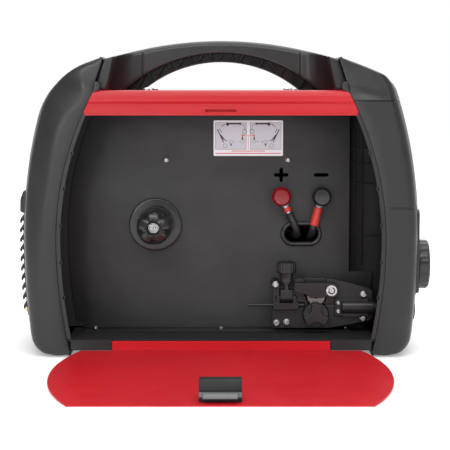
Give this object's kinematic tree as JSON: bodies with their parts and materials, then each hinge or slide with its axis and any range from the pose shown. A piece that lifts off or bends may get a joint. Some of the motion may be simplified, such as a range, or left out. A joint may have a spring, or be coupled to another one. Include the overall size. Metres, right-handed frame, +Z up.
{
  "type": "mig welding machine",
  "caption": "Portable wire-feed welding machine with curved black end shells, a top grip, a red cover and a drop-down side door over a spool hub, terminals and wire feeder.",
  "frame": {"origin": "centre of the machine's box on the floor, with the side door open", "axes": "+X towards the control end, -Y towards the door side, +Z up"},
  "size_m": [0.482, 0.5048, 0.361],
  "materials": {
    "case_black": "satin",
    "handle_black": "satin",
    "red_paint": "satin",
    "inner_black": "textured",
    "rubber_black": "matte",
    "zinc": "satin",
    "bright_steel": "polished",
    "knob_black": "satin",
    "terminal_red": "gloss",
    "lead_black": "satin",
    "label_grey": "satin",
    "feeder_black": "satin",
    "core_steel": "matte",
    "copper_coil": "varnished",
    "aluminium": "matte",
    "board_green": "satin",
    "valve_brass": "satin",
    "lamp_amber": "gloss",
    "grey_plastic": "satin"
  },
  "bodies": {
    "case": {"rear_shell": "case_black", "front_shell": "case_black", "carry_handle": "handle_black", "top_cover": "red_paint", "base_pan": "inner_black", "centre_panel": "inner_black", "hinge_brackets": "inner_black", "hinge_screws": "zinc", "rubber_feet": "rubber_black", "shell_screws": "zinc", "cover_screws": "zinc", "panel_screws": "zinc", "polarity_label": "label_grey", "hub_spindle": "zinc", "hub_brake_spring": "bright_steel", "hub_nut": "bright_steel", "panel_grommet": "rubber_black", "terminal_studs": "valve_brass", "terminal_bushes": "knob_black", "lead_lugs": "bright_steel", "lug_sleeve": "terminal_red", "welding_lead_pos": "lead_black", "welding_lead_neg": "lead_black", "feeder_body": "feeder_black", "inlet_guide": "knob_black", "torch_adaptor": "knob_black", "feeder_screws": "zinc", "arm_pivot_screw": "zinc", "feed_motor": "grey_plastic", "transformer_core": "core_steel", "transformer_coils": "copper_coil", "output_choke": "copper_coil", "rectifier_stack": "aluminium", "fan_motor": "knob_black", "control_board": "board_green", "gas_valve": "valve_brass", "gas_inlet": "valve_brass", "mains_gland": "knob_black", "torch_gland": "knob_black", "earth_gland": "knob_black", "control_plate": "knob_black", "indicator_lamp": "lamp_amber"},
    "door": {"side_door": "red_paint", "latch_housing": "knob_black", "latch_spring": "bright_steel"},
    "latch": {"latch_tongue": "grey_plastic"},
    "hub": {"spool_hub": "knob_black"},
    "plus_knob": {"terminal_knob_red": "terminal_red"},
    "minus_knob": {"terminal_knob_black": "knob_black"},
    "arm": {"pressure_arm": "feeder_black"},
    "arm_wheel": {"pressure_roller": "bright_steel"},
    "drive_wheel": {"drive_roller": "bright_steel", "roller_knob": "knob_black"},
    "tensioner": {"tension_bolt": "feeder_black", "tension_spring": "bright_steel"},
    "tension_cap": {"tension_knob": "knob_black"},
    "selector": {"selector_knob": "knob_black"},
    "wire_speed": {"speed_knob": "knob_black"},
    "rocker": {"power_switch": "knob_black"},
    "fan": {"fan_blades": "knob_black"}
  },
  "joints": [
    {"name": "door_hinge", "type": "hinge", "parent": "case", "child": "door", "pos_m": [0, 0.02131, 0.013], "axis": [-1, 0, 0], "range_deg": [0, 92]},
    {"name": "latch_slide", "type": "slide", "parent": "door", "child": "latch", "axis": [0, 0.9994, 0.0354], "range_m": [0, 0.004], "stiffness_N_per_m": 300, "springref_m": -0.002, "deforming": ["latch_spring"]},
    {"name": "hub_spin", "type": "hinge", "parent": "case", "child": "hub", "pos_m": [-0.078, 0.07741, 0.1445], "axis": [0, 1, 0], "continuous": true},
    {"name": "plus_knob_turn", "type": "hinge", "parent": "case", "child": "plus_knob", "pos_m": [0.071, 0.08941, 0.178], "axis": [0, -1, 0], "range_deg": [0, 720]},
    {"name": "minus_knob_turn", "type": "hinge", "parent": "case", "child": "minus_knob", "pos_m": [0.1185, 0.08941, 0.178], "axis": [0, -1, 0], "range_deg": [0, 720]},
    {"name": "arm_lift", "type": "hinge", "parent": "case", "child": "arm", "pos_m": [0.1287, 0.06941, 0.0704], "axis": [0, 1, 0], "range_deg": [0, 35]},
    {"name": "arm_wheel_spin", "type": "hinge", "parent": "arm", "child": "arm_wheel", "pos_m": [0.111, 0.07341, 0.0628], "axis": [0, 1, 0], "continuous": true},
    {"name": "drive_spin", "type": "hinge", "parent": "case", "child": "drive_wheel", "pos_m": [0.1106, 0.07341, 0.0415], "axis": [0, 1, 0], "continuous": true},
    {"name": "tensioner_swing", "type": "hinge", "parent": "case", "child": "tensioner", "pos_m": [0.0764, 0.07241, 0.0607], "axis": [1, 0, 0], "range_deg": [0, 80]},
    {"name": "tension_turn", "type": "hinge", "parent": "tensioner", "child": "tension_cap", "pos_m": [0.0764, 0.07241, 0.09], "axis": [0, 0, 1], "range_deg": [0, 720]},
    {"name": "selector_turn", "type": "hinge", "parent": "case", "child": "selector", "pos_m": [0.228, 0.07341, 0.101], "axis": [1, 0, 0], "range_deg": [-105, 105]},
    {"name": "wire_speed_turn", "type": "hinge", "parent": "case", "child": "wire_speed", "pos_m": [0.228, 0.16741, 0.101], "axis": [1, 0, 0], "range_deg": [-135, 135]},
    {"name": "rocker_tilt", "type": "hinge", "parent": "case", "child": "rocker", "pos_m": [0.226, 0.20141, 0.088], "axis": [0, -1, 0], "range_deg": [0, 14]},
    {"name": "fan_spin", "type": "hinge", "parent": "case", "child": "fan", "pos_m": [-0.186, 0.17541, 0.106], "axis": [1, 0, 0], "continuous": true}
  ],
  "couplings": [
    {"joint": "arm_wheel_spin", "follows": "drive_spin", "ratio": -1.0784}
  ]
}
